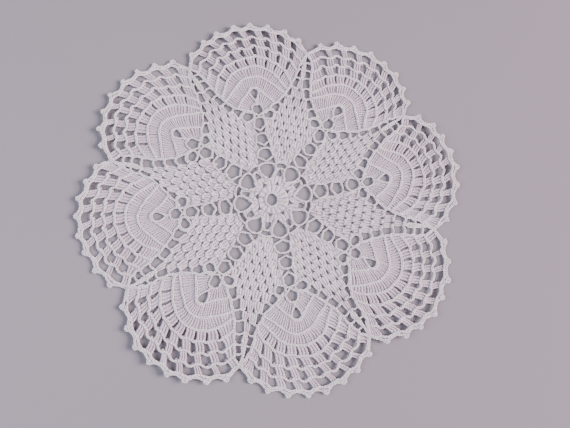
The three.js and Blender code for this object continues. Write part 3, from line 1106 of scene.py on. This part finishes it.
row_widths = DIAMOND_ROWS["shells"] * DIAMOND_ROWS["pitch"]
diamond_flat = row_widths.max(), DIAMOND_TIP - DIAMOND_FOOT
diamond_area = (row_widths * np.diff(row_lines)).sum()

star_reach = STAR_ROWS["head"][0]
star_flat, star_area = (2 * star_reach, 2 * star_reach), np.pi * star_reach**2

star_placed = [(0, star_motif), *[(fan, arm_motif) for fan in range(FAN_COUNT)]]
star_placed += [(fan + 0.5, petal_motif) for fan in range(FAN_COUNT)]
lace_sheet("star", star_placed, star_flat)
for fan, tilt in enumerate(DIAMOND_TILTS):
    lace_sheet(f"diamond_{fan + 1}", [(fan + 0.5, tilted(diamond_motif, tilt))], diamond_flat)
    fan_flat = np.ptp(fan_outlines[fan], axis=0)
    lace_sheet(f"fan_{fan + 1}", [(fan, fan_motifs[fan])], fan_flat)
flat_areas = np.round([star_area, diamond_area, *fan_areas])
print("flat areas of star, diamond and fans, in square mm:", flat_areas)

# %% [markdown]
# ## Floor and light
# The mat lies on a plain, pale, matt floor under soft studio light: a large lamp from one side, which shows
# the relief of the stitches, a small weak one from the other, and a dim, even sky that fills the shade.

# %% Floor, lamps and sky
FLOOR_HALF = 2.0
FLOOR_ROUGHNESS = 0.9
FLOOR_PATCHES = {
    "Scale": 6.0,
    "Detail": 2.0,
    "Share": 1.0,
    "Light": (0.290, 0.277, 0.300, 1.0),
    "Dark": (0.275, 0.263, 0.286, 1.0),
}
SKY_COLOUR, SKY_STRENGTH = (0.90, 0.785, 0.91, 1.0), 0.352
Lamp = namedtuple("Lamp", "name place size watts colour")
LAMPS = [
    Lamp("key", (1.9, -0.5, 1.35), 1.1, 128.0, (1.0, 0.81, 0.86)),
    Lamp("fill", (-0.5, 0.0, 0.5), 0.5, 3.84, (0.80, 0.85, 1.0)),
]


def floor_material():
    """A matt surface with a faint, slow change of shade: soft noise mixes two close colours."""
    material, tree, shader = new_material("plain_floor")
    colour = node(tree, "ShaderNodeGroup", FLOOR_PATCHES, node_tree=patchy_colour)
    link(tree, colour, "Color", shader, "Base Color")
    set_inputs(shader, {"Roughness": FLOOR_ROUGHNESS})
    return material


def hang_lamp(lamp):
    """A square lamp that looks at the middle of the mat."""
    light = bpy.data.lights.new(lamp.name, "AREA")
    light.size, light.energy, light.color = lamp.size, lamp.watts, lamp.colour
    holder = bpy.data.objects.new(lamp.name, light)
    holder.location = lamp.place
    holder.rotation_euler = (-Vector(lamp.place)).to_track_quat("-Z", "Y").to_euler()
    bpy.context.collection.objects.link(holder)


corners = np.array([[-1, -1, 0], [1, -1, 0], [1, 1, 0], [-1, 1, 0]]) * FLOOR_HALF
floor_mesh = bpy.data.meshes.new("floor")
floor_mesh.from_pydata(corners.tolist(), [], [(0, 1, 2, 3)])
floor_mesh.materials.append(floor_material())
floor = bpy.data.objects.new("floor", floor_mesh)
bpy.context.collection.objects.link(floor)

for lamp in LAMPS:
    hang_lamp(lamp)

sky = bpy.data.worlds.new("sky")
sky.use_nodes = True
set_inputs(sky.node_tree.nodes["Background"], {"Color": SKY_COLOUR, "Strength": SKY_STRENGTH})
bpy.context.scene.world = sky
print("lamps:", [f"{lamp.name} {lamp.watts} W" for lamp in LAMPS], "and a sky")

# %% [markdown]
# ## Camera
# The photograph looks down on the mat from a steep angle, a little turned. The camera is set from that
# angle, its distance and the spot that it looks at.

# %% Camera at the photograph's angle
PHOTO_WIDTH, FOCAL_PIXELS, SENSOR = 570, 600, 36.0
CAMERA_HEADING = np.array([-0.4247, -0.9053])
CAMERA_RISE, CAMERA_ROLL = np.radians(76.275), np.radians(14.742)
CAMERA_DISTANCE = 397.0
CAMERA_AIM = np.array([5.75, -10.87])
NEAREST = 0.01

back = np.append(CAMERA_HEADING * np.cos(CAMERA_RISE), np.sin(CAMERA_RISE))
level = np.array([-CAMERA_HEADING[1], CAMERA_HEADING[0], 0.0])
upright = np.cross(back, level)
right = level * np.cos(CAMERA_ROLL) + upright * np.sin(CAMERA_ROLL)
top = upright * np.cos(CAMERA_ROLL) - level * np.sin(CAMERA_ROLL)
spot = (np.append(CAMERA_AIM - BOX_MIDDLE, 0.0) + back * CAMERA_DISTANCE) * MM
lens = bpy.data.cameras.new("camera")
lens.sensor_width, lens.lens = SENSOR, SENSOR * FOCAL_PIXELS / PHOTO_WIDTH
lens.clip_start = NEAREST
camera = bpy.data.objects.new("camera", lens)
turn = np.eye(4)
turn[:3] = np.column_stack([right, top, back, spot])
camera.matrix_world = Matrix(turn.tolist())
bpy.context.collection.objects.link(camera)
bpy.context.scene.camera = camera
print("camera at", spot.round(3))
